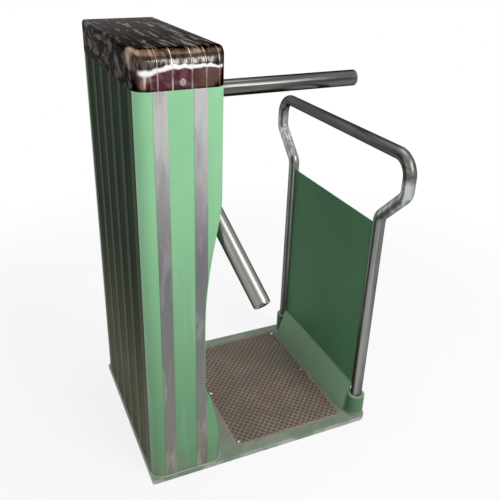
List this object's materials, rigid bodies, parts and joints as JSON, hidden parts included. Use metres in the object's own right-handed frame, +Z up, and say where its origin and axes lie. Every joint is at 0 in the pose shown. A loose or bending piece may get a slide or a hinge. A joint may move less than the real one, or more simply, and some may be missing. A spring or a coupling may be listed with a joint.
{
  "type": "tripod turnstile",
  "caption": "Waist-high tripod turnstile: green cabinet with polished cap and arms, tread platform and guard rail.",
  "frame": {"origin": "centre of the four floor anchors at floor level", "axes": "+Z up, +X across the passage from the cabinet to the rail, -Y towards the front of the picture"},
  "size_m": [0.672, 0.7092, 1.1],
  "materials": {
    "platform_paint": "satin",
    "tread": "matte",
    "kick_paint": "satin",
    "zinc_screws": "satin",
    "rail_tube": "satin",
    "panel_paint": "satin",
    "frame_steel": "matte",
    "sealant": "matte",
    "cabinet_paint": "satin",
    "side_paint": "satin",
    "strip_steel": "satin",
    "side_strip": "satin",
    "cap_chrome": "polished",
    "lock_metal": "polished",
    "machined_steel": "satin",
    "cast_housing": "matte",
    "hub_iron": "satin",
    "arm_steel": "polished",
    "gear_brass": "satin",
    "black_plastic": "matte",
    "box_plastic": "matte",
    "supply_case": "satin"
  },
  "bodies": {
    "cabinet": {"base_frame": "platform_paint", "tread_plate": "tread", "tread_screws": "zinc_screws", "kick_plate": "kick_paint", "kick_screws": "zinc_screws", "front_socket": "platform_paint", "rear_socket": "platform_paint", "socket_screws": "zinc_screws", "guard_rail": "rail_tube", "rail_panel": "panel_paint", "panel_tabs": "panel_paint", "panel_rivets": "panel_paint", "cabinet_frame": "frame_steel", "frame_bolts": "zinc_screws", "foot_seal": "sealant", "front_cover": "cabinet_paint", "rear_cover": "cabinet_paint", "cover_screws": "zinc_screws", "side_panel": "side_paint", "passage_panel": "cabinet_paint", "panel_screws": "zinc_screws", "front_trim": "strip_steel", "rear_trim": "strip_steel", "side_trim": "side_strip", "lock_strike": "zinc_screws", "mechanism_bracket": "frame_steel", "bracket_bolts": "zinc_screws", "bearing_housing": "cast_housing", "housing_bolts": "zinc_screws", "front_bearing": "machined_steel", "rear_bearing": "machined_steel", "lock_mount": "frame_steel", "front_solenoid": "black_plastic", "rear_solenoid": "black_plastic", "damper": "black_plastic", "lever_post": "machined_steel", "index_spring": "zinc_screws", "control_box": "box_plastic", "power_supply": "supply_case", "cable_gland": "black_plastic"},
    "rotor": {"rotor_shaft": "machined_steel", "hub": "hub_iron", "hub_nut": "zinc_screws", "hub_cap": "arm_steel", "level_arm": "arm_steel", "front_arm": "arm_steel", "rear_arm": "arm_steel", "arm_plugs": "arm_steel", "arm_screws": "zinc_screws", "lock_disc": "machined_steel", "shaft_gear": "gear_brass", "index_cam": "machined_steel"},
    "cap": {"cap_cover": "cap_chrome", "cap_lock_barrel": "lock_metal"},
    "cap_lock": {"cap_lock_cam": "zinc_screws"},
    "front_lock": {"front_lock_pin": "machined_steel"},
    "rear_lock": {"rear_lock_pin": "machined_steel"},
    "index_arm": {"index_lever": "frame_steel"},
    "index_wheel": {"index_roller": "black_plastic"},
    "damper_drive": {"damper_pinion": "gear_brass"}
  },
  "joints": [
    {"name": "rotor_turn", "type": "hinge", "parent": "cabinet", "child": "rotor", "pos_m": [-0.244, 0, 0.958], "axis": [0.7071, 0, -0.7071], "continuous": true},
    {"name": "cap_lift", "type": "slide", "parent": "cabinet", "child": "cap", "axis": [0, 0, 1], "range_m": [0, 0.3]},
    {"name": "cap_lock_turn", "type": "hinge", "parent": "cap", "child": "cap_lock", "pos_m": [-0.258, -0.255, 1.038], "axis": [0, -1, 0], "range_deg": [0, 90]},
    {"name": "front_lock_slide", "type": "slide", "parent": "cabinet", "child": "front_lock", "axis": [-0.3536, 0.866, -0.3536], "range_m": [0, 0.008]},
    {"name": "rear_lock_slide", "type": "slide", "parent": "cabinet", "child": "rear_lock", "axis": [-0.3536, -0.866, -0.3536], "range_m": [0, 0.008]},
    {"name": "index_arm_turn", "type": "hinge", "parent": "cabinet", "child": "index_arm", "pos_m": [-0.29915, 0.082, 1.01598], "axis": [0.7071, 0, -0.7071], "range_deg": [0, 9]},
    {"name": "index_wheel_turn", "type": "hinge", "parent": "index_arm", "child": "index_wheel", "pos_m": [-0.31422, 0.04209, 0.99385], "axis": [0.7071, 0, -0.7071], "continuous": true},
    {"name": "damper_turn", "type": "hinge", "parent": "cabinet", "child": "damper_drive", "pos_m": [-0.24948, 0, 1.04303], "axis": [0.7071, 0, -0.7071], "continuous": true}
  ],
  "couplings": [
    {"joint": "damper_turn", "follows": "rotor_turn", "ratio": -4}
  ]
}
